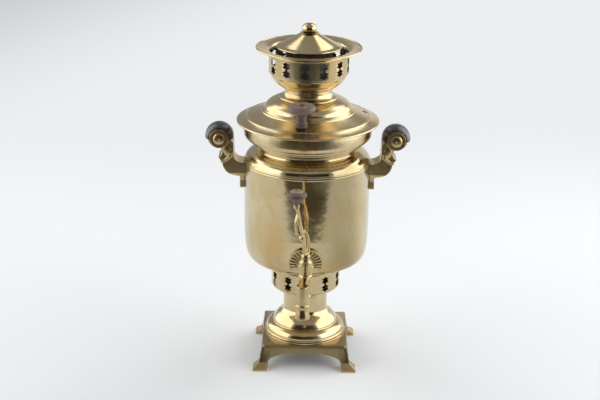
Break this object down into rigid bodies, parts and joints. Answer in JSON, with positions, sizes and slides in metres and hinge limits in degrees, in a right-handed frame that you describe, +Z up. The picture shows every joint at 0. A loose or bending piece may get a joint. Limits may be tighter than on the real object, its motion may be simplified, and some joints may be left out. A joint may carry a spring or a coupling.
{
  "type": "samovar",
  "caption": "Small charcoal samovar in brass: footed base, pierced blower ring, water body round a fire tube, lift-off lid, crown and cap, plug tap, two wood-gripped handles.",
  "frame": {"origin": "on the table, under the turned axis, at the middle of the square of four feet", "axes": "+Z up along the turned axis, the tap points to -Y, the handles lie along X"},
  "size_m": [0.257, 0.2476, 0.4401],
  "materials": {
    "polished_brass": "old polished sheet brass, warm spots and fine scratches",
    "cast_brass": "cast brass, filed and polished, darker in the hollows",
    "tinned_brass": "brass tinned on the water side, dull grey",
    "brass_screws": "turned brass, worn bright",
    "grate_iron": "raw cast iron, sooty",
    "turned_wood": "turned hardwood, old mauve-brown stain worn at the edges",
    "black_wood": "ebonised wood, satin polish"
  },
  "bodies": {
    "stand_and_body": {"base_plate": "cast_brass", "pedestal": "polished_brass", "blower_ring": "polished_brass", "grate": "grate_iron", "fire_tube": "tinned_brass", "reservoir_floor": "tinned_brass", "body_shell": "polished_brass", "collar_ring": "polished_brass", "tap_rosette": "cast_brass", "tap_body": "cast_brass", "left_handle_bracket": "cast_brass", "right_handle_bracket": "cast_brass", "left_grip": "black_wood", "right_grip": "black_wood", "left_grip_rivet": "brass_screws", "right_grip_rivet": "brass_screws", "handle_screws": "brass_screws"},
    "lid_group": {"lid": "polished_brass", "lid_skirt": "polished_brass", "lid_knob_front": "turned_wood", "lid_knob_rear": "turned_wood", "lid_knob_screws": "brass_screws", "lid_knob_nuts": "brass_screws"},
    "crown_group": {"crown": "polished_brass"},
    "cap_group": {"cap": "polished_brass", "cap_finial": "polished_brass"},
    "key_group": {"tap_key": "cast_brass", "tap_key_knob": "turned_wood", "tap_key_screw": "brass_screws"}
  },
  "joints": [
    {"name": "lid_lift", "type": "slide", "parent": "stand_and_body", "child": "lid_group", "axis": [0, 0, 1], "range_m": [0, 0.13]},
    {"name": "crown_lift", "type": "slide", "parent": "lid_group", "child": "crown_group", "axis": [0, 0, 1], "range_m": [0, 0.07]},
    {"name": "cap_lift", "type": "slide", "parent": "crown_group", "child": "cap_group", "axis": [0, 0, 1], "range_m": [0, 0.25]},
    {"name": "tap_key_turn", "type": "hinge", "parent": "stand_and_body", "child": "key_group", "pos_m": [0, -0.115, 0.146], "axis": [0, 0, 1], "range_deg": [0, 90]}
  ]
}
